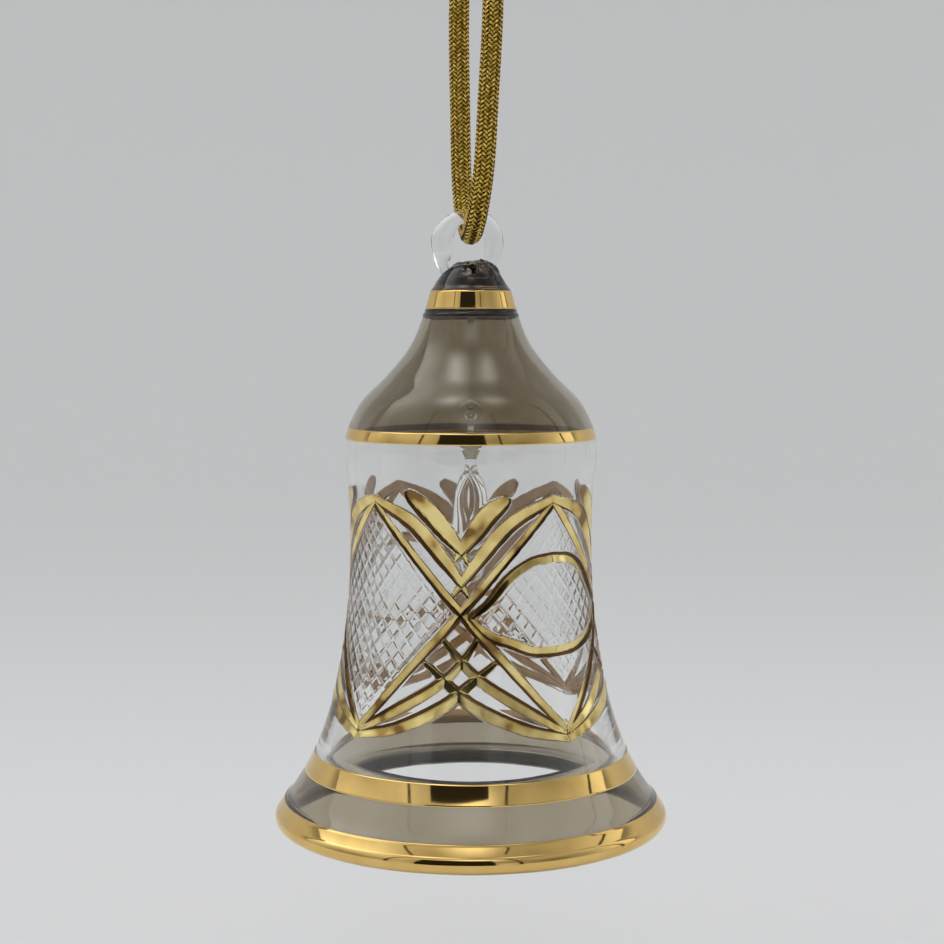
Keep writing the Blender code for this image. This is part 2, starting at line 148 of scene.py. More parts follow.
# Plain glass left between the hatching and the cuts, and over how much the hatching fades in
HATCH_MARGIN = 0.8
HATCH_CLEAR, HATCH_FADE = 0.25, 0.35
# The grid of the pattern: its ends in height, its rows, its columns in a quarter
PATTERN_TOP = -91.0
PATTERN_BOTTOM = -134.0
PATTERN_ROWS = 216
QUARTER_COLUMNS = 180
FAR_OUTSIDE = -99.0

# Hanging ring: places on its rod, from the right foot over the top to the left foot, as x, z and
# radius in mm
RING_STATIONS = (
    (0.9, -58.6, 1.2), (2.2, -57.5, 1.4), (3.3, -55.7, 1.6), (3.75, -53.4, 1.65),
    (3.35, -51.2, 1.6), (2.0, -49.5, 1.3), (0.1, -48.8, 1.05), (-1.8, -49.0, 1.1),
    (-3.4, -50.1, 1.5), (-4.5, -51.8, 1.78), (-4.8, -53.4, 1.8), (-4.85, -55.0, 1.6),
    (-4.7, -56.6, 1.15), (-4.3, -57.9, 0.7), (-3.7, -58.8, 0.5),
)

# Cord loop, the same route as the frame's: its two legs, the bight under the ring, tails and knot
BIGHT_Z = -51.85
CORD_FRONT = (
    (0.5, -1.9, 0.4), (1.7, -3.5, -4.0), (3.4, -5.9, -10.5), (3.5, -7.1, -18.0),
    (2.8, -7.3, -31.0), (2.2, -7.2, -41.0), (1.3, -6.0, -47.6), (0.5, -3.0, -51.0),
)
CORD_BACK = (
    (-0.4, 3.0, -51.0), (-1.1, 6.0, -47.6), (-1.6, 7.2, -41.0), (-1.8, 7.3, -31.0),
    (-2.0, 7.1, -18.0), (-1.8, 5.9, -10.5), (-1.1, 3.5, -4.0), (-0.5, 1.9, 0.4),
)
TAIL_RIGHT = ((0.9, -1.4, 8.0), (2.2, -2.6, 13.2), (4.6, -4.0, 16.6), (7.6, -5.0, 19.2))
TAIL_LEFT = ((-0.9, 1.4, 8.0), (-2.4, 2.4, 13.4), (-5.0, 3.3, 16.0), (-8.2, 3.8, 17.6))
KNOT_CENTRE = (0.0, 0.0, 5.4)
KNOT_SIZE = 1.32
KNOT_ENDS = 0.35
# Braid: yarns each way, the mean radius of their lines, how far they weave in and out, how wide a
# yarn is where it lies on top (mean and swing), and the step along the cord
BRAID_STRANDS = 12
BRAID_RADIUS = 1.36
BRAID_WAVE = 0.26
BRAID_CREST = (0.66, 0.40)
BRAID_STEP = 0.24
STRAND_HALF_WIDTH = 0.26
STRAND_HALF_THICKNESS = 0.16
# Corners round a yarn in degrees, and the material on each side between them: 0 the bright
# thread, on top, and 1 the dark core's, which on the yarn's sides is painted shade
STRAND_CORNERS = (0.0, 50.0, 130.0, 180.0, 270.0)
STRAND_SLOTS = (1, 0, 1, 1, 1)
CORE_SIDES = 12
CORE_SINK = 1.35

# Eye, link and clapper: the rod's radius, how much thicker the eye's feet are and over what height,
# heights of the bends, and the drop as height and radius
ROD = 0.5
EYE_FLARE, EYE_FLARE_HEIGHT = 0.9, 3.0
OVAL_POINTS = 48
EYE_HALF_WIDTH = 1.45
EYE_ROOT_Z = -64.4
EYE_BOTTOM_Z = -80.45
LINK_TOP_Z = -79.4
LINK_BOTTOM_Z = -82.9
CLAPPER_LOOP_TOP_Z = -81.85
CLAPPER_LOOP_BOTTOM_Z = -85.0
CLAPPER_STATIONS = (
    (-84.9, 0.75), (-86.0, 2.2), (-87.9, 1.5), (-89.3, 1.0), (-90.8, 1.1), (-92.7, 2.05),
    (-94.8, 2.65), (-98.0, 2.95), (-103.4, 3.3), (-108.3, 2.2), (-109.8, 1.0),
)
CLAPPER_BOTTOM_Z = -110.1

# Camera: lens and sensor in mm, place in metres and how far it looks down in degrees
LENS = 68.6
SENSOR = 36.0
CAMERA_PLACE = (0.0002, -0.3006, -0.068)
CAMERA_DOWN = 4.45

# Studio: even sky brightness, then soft lights as azimuth, elevation, sharpness and strength
SKY_BASE = 0.30
SKY_LIGHTS = (
    (0.0, 48.0, 40.0, 1.3), (-62.0, 38.0, 10.0, 0.40), (60.0, 38.0, 14.0, 0.22),
    (-39.0, 5.0, 60.0, 0.30), (20.0, 5.0, 90.0, 0.30), (-112.0, 10.0, 6.0, 0.34),
    (112.0, 5.0, 8.0, 0.24), (-118.0, 52.0, 14.0, 1.9), (48.0, 12.0, 70.0, -0.14),
    (0.0, 90.0, 14.0, -0.26), (-60.0, 77.0, 70.0, 3.6), (66.0, 75.0, 90.0, 2.4),
    (113.0, 30.0, 12.0, 0.50), (100.0, 14.0, 12.0, 0.25), (-82.0, 14.0, 24.0, -0.16),
    (60.0, 27.0, 30.0, -0.12),
)
SKY_UNEVEN = (0.65, 1.35)
# Floor and backdrop: their shades and where along Y the one turns into the other, in metres
FLOOR_SHADE = 0.635
BACKDROP_SHADE = 0.495
FLOOR_END = (0.12, 0.55)
# The sweep in mm: the floor's height and half width, how far it comes forward, where it starts to
# bend up, the bend's radius, and how high it rises
SWEEP_Z, SWEEP_HALF_WIDTH = -195.0, 3500.0
SWEEP_FRONT, SWEEP_START = -3000.0, 200.0
SWEEP_BEND, SWEEP_RISE = 1000.0, 2600.0
# Dark cards that show in the gilding: azimuths in degrees, distance and heights in mm
OPENING_AZIMUTHS, OPENING_DISTANCE = (-30.5, 13.5), 520.0
SEAM_AZIMUTHS, SEAM_HALF_WIDTH, SEAM_DISTANCE = (-47.0, 27.5, 93.0), 1.1, 560.0
CARD_LOW, OPENING_HIGH, SEAM_HIGH = -190.0, 300.0, 700.0


# ---------------------------------------------------------------- shapes

def smooth_through(points, samples):
    """Points of a smooth curve (Catmull-Rom) through the given points, as an array."""
    p = np.array(points, float)
    p = np.vstack([2 * p[0] - p[1], p, 2 * p[-1] - p[-2]])
    t = (np.arange(samples) / samples)[:, None]
    curve = []
    for a, b, c, d in zip(p, p[1:], p[2:], p[3:]):
        curve.append(0.5 * (2 * b + (c - a) * t + (2 * a - 5 * b + 4 * c - d) * t ** 2
                            + (3 * b - a - 3 * c + d) * t ** 3))
    curve.append(p[-2:-1])
    return np.vstack(curve)


WALL_CURVE = smooth_through(WALL_STATIONS, 24)


def wall_radius(z):
    """Outer radius of the blown glass at a height."""
    return np.interp(-np.asarray(z), -WALL_CURVE[:, 0], WALL_CURVE[:, 1])


def wall(top, bottom, step):
    """Outer outline (radius, height) between two heights, top to bottom."""
    count = max(int(round((top - bottom) / step)), 2)
    z = np.linspace(top, bottom, count + 1)
    return np.stack([wall_radius(z), z], 1)


def offset(outline, distance):
    """An outline moved outwards by a distance; the outline runs top to bottom."""
    along = np.gradient(outline, axis=0)
    along /= np.linalg.norm(along, axis=1, keepdims=True)
    return outline + distance * np.stack([-along[:, 1], along[:, 0]], 1)


def inner_wall(top, bottom, step):
    """Inner outline of the glass, bottom to top. The wall is thicker round the foot of the
    waist."""
    outline = wall(top, bottom, step)
    z = outline[:, 1]
    falling = np.clip((FOOT_TOP - z) / (FOOT_TOP - FOOT_THICKEST), 0.0, 1.0)
    rising = np.clip((z - FOOT_BOTTOM) / (FOOT_THICKEST - FOOT_BOTTOM), 0.0, 1.0)
    inner = offset(outline, -WALL)
    inner[:, 0] -= FOOT_EXTRA * np.minimum(falling, rising) ** FOOT_CURVE
    return inner[::-1]


def arc(centre, radius, start, end, steps):
    """Points of an arc between two angles in degrees."""
    angle = np.radians(np.linspace(start, end, steps + 1))
    return np.stack([centre[0] + radius * np.cos(angle), centre[1] + radius * np.sin(angle)], 1)


def mesh_object(name, verts, faces, smooth=True):
    """An object from points in mm."""
    mesh = bpy.data.meshes.new(name)
    mesh.from_pydata((np.asarray(verts) * MM).tolist(), [], faces)
    mesh.validate()
    if smooth:
        mesh.shade_smooth()
    obj = bpy.data.objects.new(name, mesh)
    bpy.context.scene.collection.objects.link(obj)
    return obj


def lattice_faces(rows, columns, wrap_rows, wrap_columns):
    """Quads of a grid of points numbered row by row."""
    i = np.arange(rows if wrap_rows else rows - 1)[:, None]
    j = np.arange(columns if wrap_columns else columns - 1)[None, :]
    i2, j2 = (i + 1) % rows, (j + 1) % columns
    quads = np.stack([i * columns + j, i2 * columns + j, i2 * columns + j2, i * columns + j2], -1)
    return quads.reshape(-1, 4).tolist()


def revolve(name, outline, columns=COLUMNS, closed=True):
    """A closed outline of (radius, height) turned about Z. An open one starts and ends on the
    axis, where the point is kept once."""
    outline = np.asarray(outline, float)
    angle = 2 * np.pi * np.arange(columns) / columns
    ring = np.stack([np.cos(angle), np.sin(angle)], 1)
    body = outline if closed else outline[1:-1]
    xy = body[:, None, :1] * ring[None]
    z = np.repeat(body[:, None, 1:], columns, 1)
    verts = np.concatenate([xy, z], 2).reshape(-1, 3)
    faces = lattice_faces(len(body), columns, closed, True)
    if not closed:
        first, last = len(verts), len(verts) + 1
        verts = np.vstack([verts, [0, 0, outline[0, 1]], [0, 0, outline[-1, 1]]])
        base = (len(body) - 1) * columns
        for j in range(columns):
            k = (j + 1) % columns
            faces.append([first, j, k])
            faces.append([base + j, last, base + k])
    return mesh_object(name, verts, faces)


def tube(name, centres, radii, sides=20, closed=False, wobble=0.0):
    """A round rod along a line of points, with a radius at each."""
    centres, radii = np.asarray(centres, float), np.asarray(radii, float)
    along, side, up = frames_along(centres, closed)
    angle = 2 * np.pi * np.arange(sides) / sides
    around = np.cos(angle)[None, :, None] * side[:, None] + np.sin(angle)[None, :, None] * up[:, None]
    verts = centres[:, None] + radii[:, None, None] * around
    if wobble:
        flat = verts.reshape(-1, 3)
        shift = np.array([noise.noise(Vector(p) * 0.35) for p in flat])
        verts = verts + wobble * shift.reshape(verts.shape[:2])[..., None] * around
    # grid faces run along, then around, which turns them inwards; reverse them
    faces = [f[::-1] for f in lattice_faces(len(centres), sides, closed, True)]
    if not closed:
        last = (len(centres) - 1) * sides
        faces.append(list(range(sides))[::-1])
        faces.append([last + j for j in range(sides)])
    return mesh_object(name, verts.reshape(-1, 3), faces)


def frames_along(centres, closed=False):
    """Direction and two steady side vectors at each point of a line."""
    if closed:
        along = np.roll(centres, -1, 0) - np.roll(centres, 1, 0)
    else:
        along = np.gradient(centres, axis=0)
    along /= np.linalg.norm(along, axis=1, keepdims=True)
    start = np.array([1.0, 0.0, 0.0]) if abs(along[0][0]) < 0.8 else np.array([0.0, 1.0, 0.0])
    side = np.zeros_like(along)
    previous = start
    for i, t in enumerate(along):
        previous = previous - t * previous.dot(t)
        previous = previous / np.linalg.norm(previous)
        side[i] = previous
    return along, side, np.cross(along, side)


# ---------------------------------------------------------------- materials

def new_material(name):
    """A material with its node tree and its Principled shader."""
    material = bpy.data.materials.new(name)
    material.use_nodes = True
    tree = material.node_tree
    return material, tree, tree.nodes["Principled BSDF"]


def object_noise(tree, scale, detail=3.0, roughness=0.55, stretch=(1.0, 1.0, 1.0)):
    """Noise from 0 to 1 that is fixed to the object; the scale is per metre."""
    place_node = tree.nodes.new("ShaderNodeTexCoord")
    mapping = tree.nodes.new("ShaderNodeMapping")
    mapping.inputs["Scale"].default_value = stretch
    tree.links.new(place_node.outputs["Object"], mapping.inputs["Vector"])
    grain = tree.nodes.new("ShaderNodeTexNoise")
    grain.inputs["Scale"].default_value = scale
    grain.inputs["Detail"].default_value = detail
    grain.inputs["Roughness"].default_value = roughness
    tree.links.new(mapping.outputs["Vector"], grain.inputs["Vector"])
    return grain.outputs["Fac"]


def ramp(tree, factor, stops):
    """A colour that goes through the stops as the factor rises."""
    node = tree.nodes.new("ShaderNodeValToRGB")
    elements = node.color_ramp.elements
    elements[0].position, elements[0].color = stops[0][0], (*stops[0][1], 1.0)
    elements[1].position, elements[1].color = stops[-1][0], (*stops[-1][1], 1.0)
    for position, colour in stops[1:-1]:
        elements.new(position).color = (*colour, 1.0)
    tree.links.new(factor, node.inputs["Fac"])
    return node.outputs["Color"]


def bump(tree, shader, height, strength, distance):
    """Relief of the surface from a height."""
    node = tree.nodes.new("ShaderNodeBump")
    node.inputs["Strength"].default_value = strength
    node.inputs["Distance"].default_value = distance
    tree.links.new(height, node.inputs["Height"])
    tree.links.new(node.outputs["Normal"], shader.inputs["Normal"])


def spread(tree, factor, low, high):
    """A factor from 0 to 1 moved to another range."""
    node = tree.nodes.new("ShaderNodeMapRange")
    node.inputs["To Min"].default_value = low
    node.inputs["To Max"].default_value = high
    tree.links.new(factor, node.inputs["Value"])
    return node.outputs["Result"]


def glass(name, light, dark, wave=0.12):
    """Blown glass: a slightly uneven tint and the slow waves of a hand-worked wall."""
    material, tree, shader = new_material(name)
    shader.inputs["Transmission Weight"].default_value = 1.0
    shader.inputs["IOR"].default_value = 1.5
    shader.inputs["Roughness"].default_value = 0.0
    cloud = object_noise(tree, 90.0, 3.0, stretch=(1.0, 1.0, 0.35))
    tree.links.new(ramp(tree, cloud, ((0.3, dark), (0.7, light))), shader.inputs["Base Color"])
    bump(tree, shader, object_noise(tree, 120.0, 1.0), wave, 0.0004)
    return material


def gilding(name, light, dark, roughness, dents=0.1, worn=None):
    """Bright fired gold with faint brush marks round the bell, and worn brown in patches."""
    material, tree, shader = new_material(name)
    shader.inputs["Metallic"].default_value = 1.0
    brush = object_noise(tree, 700.0, 4.0, stretch=(0.25, 0.25, 2.2))
    patch = object_noise(tree, 160.0, 2.0)
    colours = ((0.3, dark), (0.7, light))
    if worn is not None:
        colours = ((0.36, worn), (0.44, dark), (0.62, light))
    tree.links.new(ramp(tree, patch, colours), shader.inputs["Base Color"])
    tree.links.new(spread(tree, brush, *roughness), shader.inputs["Roughness"])
    bump(tree, shader, patch, dents, 0.0002)
    return material


def gilding_back(name, light, dark):
    """The fired gold as it shows from behind, through the glass: brown bronze."""
    material, tree, shader = new_material(name)
    shader.inputs["Metallic"].default_value = 0.25
    shader.inputs["Roughness"].default_value = 0.34
    patch = object_noise(tree, 420.0, 4.0, stretch=(1.0, 1.0, 0.3))
    tree.links.new(ramp(tree, patch, ((0.3, dark), (0.7, light))), shader.inputs["Base Color"])
    return material


def metallic_thread(name, light, middle, dark):
    """Flat metallised yarn: painted glints, bright gold specks in its colour, with brown between; the same
    noise sets its gloss.
    """
    material, tree, shader = new_material(name)
    shader.inputs["Metallic"].default_value = 0.85
    # This noise paints glints into the colour and also varies the roughness
    glint_and_gloss = object_noise(tree, 1500.0, 4.0, 0.75)
    stops = ((0.42, dark), (0.50, middle), (0.58, light))
    tree.links.new(ramp(tree, glint_and_gloss, stops), shader.inputs["Base Color"])
    tree.links.new(spread(tree, glint_and_gloss, 0.5, 0.15), shader.inputs["Roughness"])
    bump(tree, shader, object_noise(tree, 3000.0, 2.0), 0.9, 0.0002)
    return material


def plain(name, colour, roughness):
    """A matt or dull surface of almost one colour."""
    material, tree, shader = new_material(name)
    shader.inputs["Roughness"].default_value = roughness
    grain = object_noise(tree, 6.0, 3.0)
    lower = tuple(c * 0.985 for c in colour)
    tree.links.new(ramp(tree, grain, ((0.3, lower), (0.7, colour))), shader.inputs["Base Color"])
    return material


def place(obj, node, body="bell"):
    """Put an object on its body, in the place of a node of the frame."""
    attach(obj, body)
    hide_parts(node)


def dress(obj, *materials):
    """Give an object these materials and no others."""
    obj.data.materials.clear()
    for material in materials:
        obj.data.materials.append(material)


# ---------------------------------------------------------------- cut pattern

def distance_to(points_u, points_v, line):
    """Nearest place on a line for each point: distance, side (left +) and share of the length."""
    best = np.full(points_u.shape, np.inf)
    side = np.zeros_like(best)
    share = np.zeros_like(best)
    lengths = np.linalg.norm(np.diff(line, axis=0), axis=1)
    total, done = lengths.sum(), 0.0
    for a, b, length in zip(line, line[1:], lengths):
        du, dv = (b - a) / length
        t = np.clip((points_u - a[0]) * du + (points_v - a[1]) * dv, 0.0, length)
        u, v = points_u - a[0] - t * du, points_v - a[1] - t * dv
        far = np.hypot(u, v)
        nearer = far < best
        best = np.where(nearer, far, best)
        side = np.where(nearer, np.sign(du * v - dv * u), side)
        share = np.where(nearer, (done + t) / total, share)
        done += length
    return best, side, share


def cut(u, v, stroke, mirrored, start_share=0.0):
    """Depth of one cut, how far each point is inside its edge, and how far it is up the cut's
    steep side, all in mm."""
    points, widths, lean, swell = stroke
    line = smooth_through([(x * FLAT_SCALE, z) for x, z in points], 6)
    line = line[int(start_share * (len(line) - 1)):]
    far, side, share = distance_to(-u if mirrored else u, v, line)
    start, middle, end = widths
    ends = start + (end - start) * share
    half = 0.5 * (ends + (middle - ends) * np.sin(np.pi * share ** swell))
    signed = far * side - lean * half
    reach = np.where(signed > 0, half * (1 - lean), half * (1 + lean))
    depth = CUT_SLOPE * half * np.clip(1 - np.abs(signed) / reach, 0.0, 1.0)
    inside = half - far
    steep = -signed if lean < 0 else signed
    return np.where(inside > 0, depth, 0.0), inside, steep


def hatching(u, v, inside_cuts, eyed):
    """Depth of the fine cross-hatching in the panel to the right of the crossing."""
    end_degrees, end_z = STROKES[0][0][-1]
    rise = abs(end_z - CROSSING_Z) / (end_degrees * FLAT_SCALE)
    angle = math.atan(rise)
    depth = np.zeros_like(u)
    for sign in (-1.0, 1.0):
        across = (v - CROSSING_Z) * math.cos(angle) + sign * u * math.sin(angle)
        nearest = np.abs(across / HATCH_SPACING - np.round(across / HATCH_SPACING)) * HATCH_SPACING
        depth = np.maximum(depth, HATCH_SLOPE * np.clip(HATCH_HALF_WIDTH - nearest, 0.0, None))
    if eyed:
        upper, lower = (smooth_through([(x * FLAT_SCALE, z) for x, z in s[0]], 6)
                        for s in EYE_STROKES)
        top = np.interp(u, upper[:, 0], upper[:, 1], left=-np.inf)
        bottom = np.interp(u, lower[:, 0], lower[:, 1], left=np.inf)
        panel = (v < top) & (v > bottom)
    else:
        panel = np.abs(v - CROSSING_Z) < rise * np.abs(u) - HATCH_MARGIN
    clear = np.clip((-inside_cuts - HATCH_CLEAR) / HATCH_FADE, 0.0, 1.0)
    return depth * panel * clear


def by_hand(stroke, seed):
    """The same cut as the hand makes it: its middle points wander a little."""
    points, widths, lean, swell = stroke
    wander = np.random.default_rng(seed).normal(0.0, HAND, (len(points), 2))
    wander[0] = wander[-1] = 0.0
    moved = [(x + dx / FLAT_SCALE, z + dz) for (x, z), (dx, dz) in zip(points, wander)]
    return moved, widths, lean, swell


def quarter_pattern(z, number):
    """Cut depth, distance inside the gilding's edge and place on the steep sides on one quarter,
    columns from -45 to 45 degrees. On quarters 1 and 3 the eye is on the right of the crossing,
    and the left panel is hatched all over; 2 and 4 are the other way round."""
    mirror = number % 2 == 0
    degrees = np.linspace(-45.0, 45.0, QUARTER_COLUMNS + 1)
    u, v = np.meshgrid(degrees * FLAT_SCALE, z)
    if mirror:
        u = -u
    depth = np.zeros_like(u)
    inside = np.full_like(u, FAR_OUTSIDE)
    steep = np.full_like(u, FAR_OUTSIDE)
    drawn = [(n, m) for n in range(len(STROKES)) for m in (False, True)]
    drawn += [(len(STROKES) + n, False) for n in range(len(EYE_STROKES))]
    for n, mirrored in drawn:
        stroke = by_hand((STROKES + EYE_STROKES)[n], 100 * number + 2 * n + mirrored)
        start = LEAF_STARTS[number - 1][mirrored] if n == LEAF else 0.0
        stroke_depth, stroke_inside, stroke_steep = cut(u, v, stroke, mirrored, start)
        steep = np.where(stroke_depth > depth, stroke_steep, steep)
        depth = np.maximum(depth, stroke_depth)
        inside = np.maximum(inside, stroke_inside)
    right = hatching(np.where(u > 0, u, 0.0), v, inside, True)
    left = hatching(np.where(u < 0, -u, 0.0), v, inside, False)
    depth = np.maximum(depth, np.where(u > 0, right, left))
    # Brown round the crossing, drawn with the same mask as the painted shade on the steep sides
    steep += HUB_BROWN * np.exp(-(u * u + (v - CROSSING_Z) ** 2) / HUB_SIZE ** 2)
    return depth, inside, steep


def pattern_rows():
    """Heights of the rows of the cut pattern, top to bottom."""
    return np.linspace(PATTERN_TOP, PATTERN_BOTTOM, PATTERN_ROWS)


def quarter_surface(number, z, depth, lift):
    """Points lifted off the cut outer wall over one quarter, which starts 45 degrees left of its
    crossing."""
    degrees = np.linspace(-45.0, 45.0, QUARTER_COLUMNS + 1) + PATTERN_TURN + 90.0 * (number - 1)
    angle = np.radians(degrees - 90.0)
    radius = wall_radius(z)[:, None] - depth + lift
    x, y = radius * np.cos(angle), radius * np.sin(angle)
    return np.stack([x, y, np.repeat(z[:, None], len(angle), 1)], -1)


def waist_glass(patterns, material):
    """Clear waist: the cut outer side, then the smooth inner side, as one closed wall."""
    z_cut = pattern_rows()
    above = wall(SHOULDER_JOINT - JOINT_GAP, PATTERN_TOP, 0.5)[:-1]
    below = wall(PATTERN_BOTTOM, SKIRT_JOINT + JOINT_GAP, 0.5)[1:]
    z_outer = np.concatenate([above[:, 1], z_cut, below[:, 1]])
    full = np.hstack([depth[:, :-1] for depth, _, _ in patterns])
    blank_top = np.zeros((len(above), full.shape[1]))
    blank_bottom = np.zeros((len(below), full.shape[1]))
    cuts = np.vstack([blank_top, full, blank_bottom])
    inner = inner_wall(SHOULDER_JOINT - JOINT_GAP, SKIRT_JOINT + JOINT_GAP, 0.8)
    radius = np.vstack([wall_radius(z_outer)[:, None] - cuts,
                        np.repeat(inner[:, :1], full.shape[1], 1)])
    z = np.concatenate([z_outer, inner[:, 1]])
    degrees = np.arange(full.shape[1]) * 360.0 / full.shape[1] - 45.0 + PATTERN_TURN - 90.0
    angle = np.radians(degrees)
    verts = np.stack([radius * np.cos(angle), radius * np.sin(angle),
                      np.repeat(z[:, None], len(angle), 1)], -1)
    faces = lattice_faces(len(z), len(angle), True, True)
    obj = mesh_object("waist_glass_cut", verts.reshape(-1, 3), faces)
    dress(obj, material)
    place(obj, "waist_glass")


def clip_inside(points, inside):
    """Polygons of a grid of points where inside is positive, cut clean along its zero line."""
    rows, columns = inside.shape
    verts, faces, made = [], [], {}
    flat, value = points.reshape(-1, 3), inside.reshape(-1)

    def corner(a):
        if a not in made:
            made[a] = len(verts)
            verts.append(flat[a])
        return made[a]

    def crossing(a, b):
        key = (min(a, b), max(a, b))
        if key not in made:
            t = value[key[0]] / (value[key[0]] - value[key[1]])
            made[key] = len(verts)
            verts.append(flat[key[0]] + t * (flat[key[1]] - flat[key[0]]))
        return made[key]

    keep = value > 0
    grid = keep.reshape(rows, columns)
    busy = grid[:-1, :-1] | grid[1:, :-1] | grid[:-1, 1:] | grid[1:, 1:]
    for i, j in np.argwhere(busy):
        quad = [i * columns + j, (i + 1) * columns + j, (i + 1) * columns + j + 1, i * columns + j + 1]
        for triangle in ((quad[0], quad[1], quad[2]), (quad[0], quad[2], quad[3])):
            polygon = []
            for a, b in zip(triangle, triangle[1:] + triangle[:1]):
                if keep[a]:
                    polygon.append(corner(a))
                if keep[a] != keep[b]:
                    polygon.append(crossing(a, b))
            if len(polygon) > 2:
                faces.append(polygon)
    return np.array(verts), faces


def thicken(obj):
    """Turn a sheet into a thin skin whose inner side has its last material."""
    solid = obj.modifiers.new("Skin", "SOLIDIFY")
    solid.thickness = SKIN * MM
    solid.offset = -1.0
    solid.material_offset = len(obj.data.materials) - 1
    solid.use_even_offset = False
    depsgraph = bpy.context.evaluated_depsgraph_get()
    mesh = bpy.data.meshes.new_from_object(obj.evaluated_get(depsgraph))
    obj.modifiers.clear()
    obj.data = mesh


def gilt_quarter(number, pattern, gold, edge_and_shade, back):
    """Gilding in the cuts of one quarter: gold, with a thin brown edge, dark brown painted shade up
    each cut's steep side, brown round the crossing, and bronze on the side towards the glass."""
    depth, inside, steep = pattern
    z = pattern_rows()
    points = quarter_surface(number, z, depth, lift=SKIN_GAP + SKIN)
    brush = np.array([noise.noise(Vector(p) * 0.9) for p in points.reshape(-1, 3)])
    covered = inside + GILT_SPILL + GILT_RAGGED * brush.reshape(inside.shape)
    # Positive for gold; the rest is brown: near the edge, and painted shade up the steep sides
    bright = np.minimum(covered - EDGE_BROWN, STEEP_PAINTED_SHADE - steep)
    verts, faces = clip_inside(points, bright)
    edge_verts, edge_faces = clip_inside(points, np.minimum(covered, -bright))
    edge_faces = [[i + len(verts) for i in face] for face in edge_faces]
    obj = mesh_object(f"gilt_cross_{number}_cut", np.vstack([verts, edge_verts]), faces + edge_faces)
    dress(obj, gold, edge_and_shade, back)
    slots = np.repeat(np.array([0, 1], dtype=np.int32), [len(faces), len(edge_faces)])
    obj.data.polygons.foreach_set("material_index", slots)
    thicken(obj)
    place(obj, f"gilt_cross_{number}")


def band(name, outline, node, gold, *backs):
    """A band of gilding as a thin skin over an outline of the glass. With two materials for the
    back, the second one, a dark copy that paints shade, is used below a set height."""
    outer = offset(outline, SKIN_GAP + SKIN)
    inner = offset(outline, SKIN_GAP)[::-1]
    obj = revolve(name, np.vstack([outer, inner]), COLUMNS)
    dress(obj, gold, *backs)
    rows = np.zeros(len(outline) + len(inner), dtype=np.int32)
    rows[len(outline):] = 1
    if len(backs) > 1:
        # the back of the band below the height takes the painted shade
        rows[len(outline):][inner[:, 1] < RIM_PAINTED_SHADE_BELOW] = 2
    obj.data.polygons.foreach_set("material_index", np.repeat(rows, COLUMNS))
    place(obj, node)


# ---------------------------------------------------------------- pieces of glass

def shoulder_glass(material):
    """Smoked dome with its hollow, which is closed at the neck."""
    outer = wall(CROWN_JOINT - JOINT_GAP, SHOULDER_JOINT, 0.35)
    inner = offset(wall(DOME_INSIDE_TOP, SHOULDER_JOINT, 0.35), -WALL)[::-1]
    ceiling = smooth_through([inner[-2], inner[-1], *CEILING], 8)[8:]
    outline = np.vstack([[[0.0, outer[0][1]]], outer, inner, ceiling[1:]])
    obj = revolve("shoulder_glass_blown", outline, closed=False)
    dress(obj, material)
    place(obj, "shoulder_glass")


def rim_outline():
    """Outline of the gilding on the rim, from just above its bead to underneath."""
    return np.vstack([wall(RIM_BAND_TOP + 0.4, RIM_BAND_TOP, 0.1),
                      arc(RIM_CENTRE, RIM_RADIUS, RIM_ARC[0], GILT_RIM_END, 24)])


def neck_line(material):
    """Two dark threads of glass just under the neck band."""
    for n, (top, bottom, proud) in enumerate(NECK_THREADS):
        outline = wall(top, bottom, 0.1)
        bulge = proud * np.sin(np.pi * np.linspace(0, 1, len(outline)))[:, None]
        outer = offset(outline, 0.03) + np.hstack([bulge, 0 * bulge])
        obj = revolve(f"neck_thread_{n + 1}", np.vstack([outer, offset(outline, -0.12)[::-1]]), 128)
        dress(obj, material)
        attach(obj, "bell")


def skirt_glass(material):
    """Smoked flare with the thick rim it stands on."""
    outer = np.vstack([wall(SKIRT_JOINT - JOINT_GAP, RIM_BAND_TOP, 0.35),
                       arc(RIM_CENTRE, RIM_RADIUS, *RIM_ARC, 24)])
    land = np.array([[radius, RIM_BOTTOM + 0.01] for radius in LAND])
    inside = arc(RIM_CENTRE, RIM_RADIUS, *RIM_INNER_ARC, 14)
    inner = inner_wall(SKIRT_JOINT - JOINT_GAP, SKIRT_INSIDE_BOTTOM, 0.35)
    obj = revolve("skirt_glass_blown", np.vstack([outer, land, inside, inner]))
    dress(obj, material)
    place(obj, "skirt_glass")


def crown_knob(material):
    """Dark solid dome, drawn up a little where the ring was fused on."""
    side = smooth_through(KNOB_STATIONS, 6)
    outline = np.vstack([side, [[0.0, CROWN_JOINT]]])
    obj = revolve("crown_knob_fused", outline, 128, closed=False)
    coordinates = np.empty(len(obj.data.vertices) * 3)
    obj.data.vertices.foreach_get("co", coordinates)
    p = coordinates.reshape(-1, 3) / MM
    top = np.clip((p[:, 2] - KNOB_UNEVEN_ABOVE) / KNOB_UNEVEN_OVER, 0.0, 1.0)
    rise = np.zeros(len(p))
    for x, lift, wide, deep in RING_FEET:
        rise += lift * np.exp(-((p[:, 0] - x) ** 2) / wide - p[:, 1] ** 2 / deep)
    uneven = np.array([noise.noise(Vector(q) * 0.6) + 0.5 * noise.noise(Vector(q) * 1.5) for q in p])
    p[:, 2] += top * (rise + 0.3 * uneven)
    p[:, 0] += top * 0.25 * uneven
    obj.data.vertices.foreach_set("co", (p * MM).reshape(-1))
    dress(obj, material)
    place(obj, "crown_knob")


def hanging_ring(material):
    """A drawn rod bent into a loop, whose two ends were fused into the dark crown."""
    stations = np.array(RING_STATIONS)
    line = smooth_through(stations, 10)
    out_of_plane = 0.12 * np.sin(0.9 * line[:, 0])
    centres = np.stack([line[:, 0], out_of_plane, line[:, 1]], 1)
    obj = tube("hanging_ring_lampworked", centres, line[:, 2], 40, wobble=0.16)
    dress(obj, material)
    place(obj, "hanging_ring")


